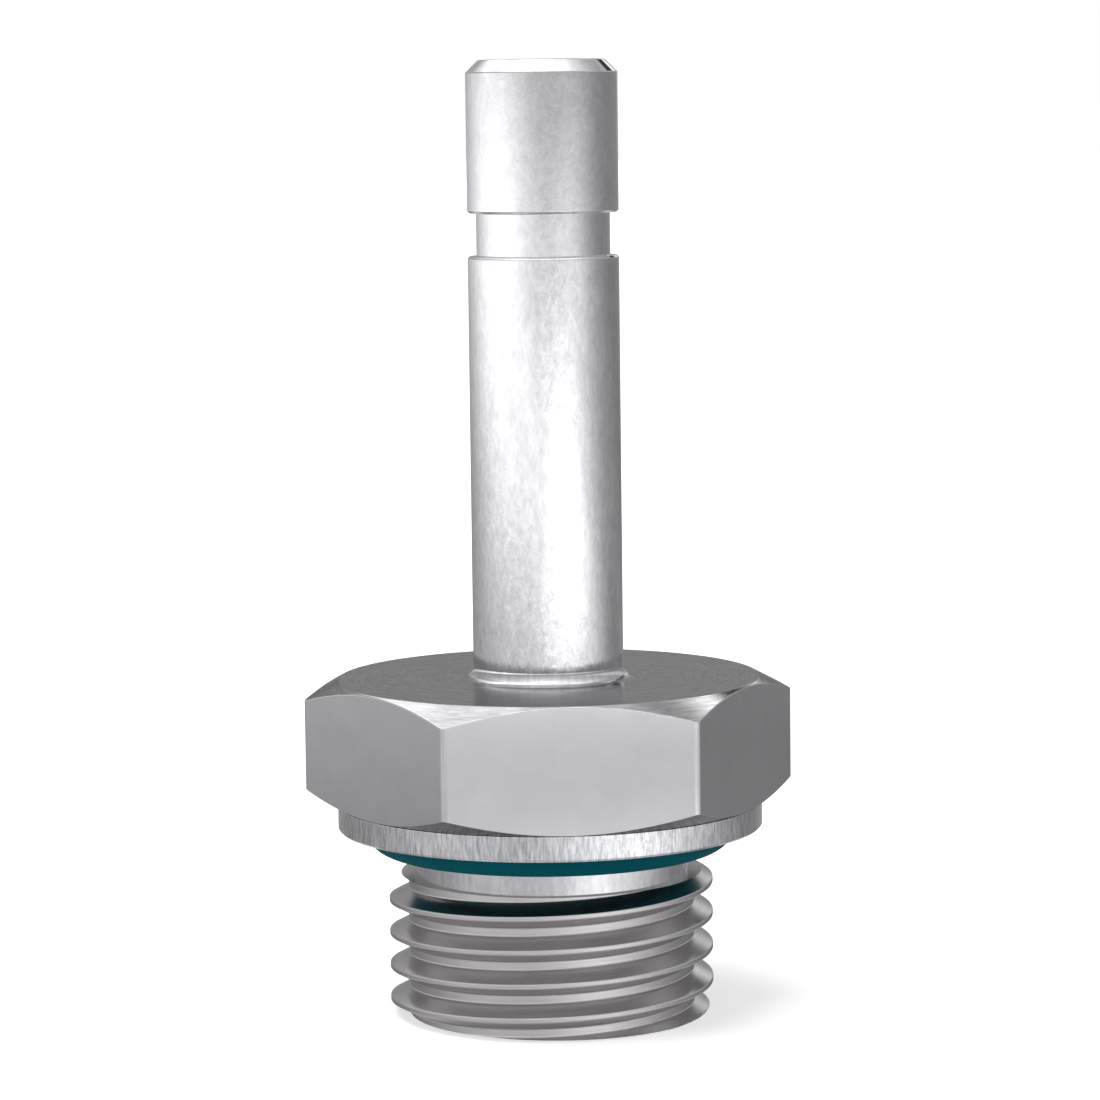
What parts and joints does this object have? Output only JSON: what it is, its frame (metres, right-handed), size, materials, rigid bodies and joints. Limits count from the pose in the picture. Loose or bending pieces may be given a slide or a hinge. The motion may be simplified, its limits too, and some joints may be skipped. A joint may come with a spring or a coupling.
{
  "type": "push-in fitting",
  "caption": "Stainless steel stem adaptor: plain plug-in stem with a retaining groove, hexagon, round collar with a seated sealing ring, and external parallel pipe thread.",
  "frame": {"origin": "centre of the thread's end face, on which the part stands", "axes": "+Z runs along the stem towards its tip, and +Y is square to two of the hexagon's flats"},
  "size_m": [0.0196, 0.017, 0.038],
  "materials": {
    "stainless_steel": "fine turned and lightly polished",
    "seal_rubber": "smooth satin teal elastomer"
  },
  "bodies": {
    "root": {"body": "stainless_steel", "seal_ring": "seal_rubber"}
  },
  "joints": []
}
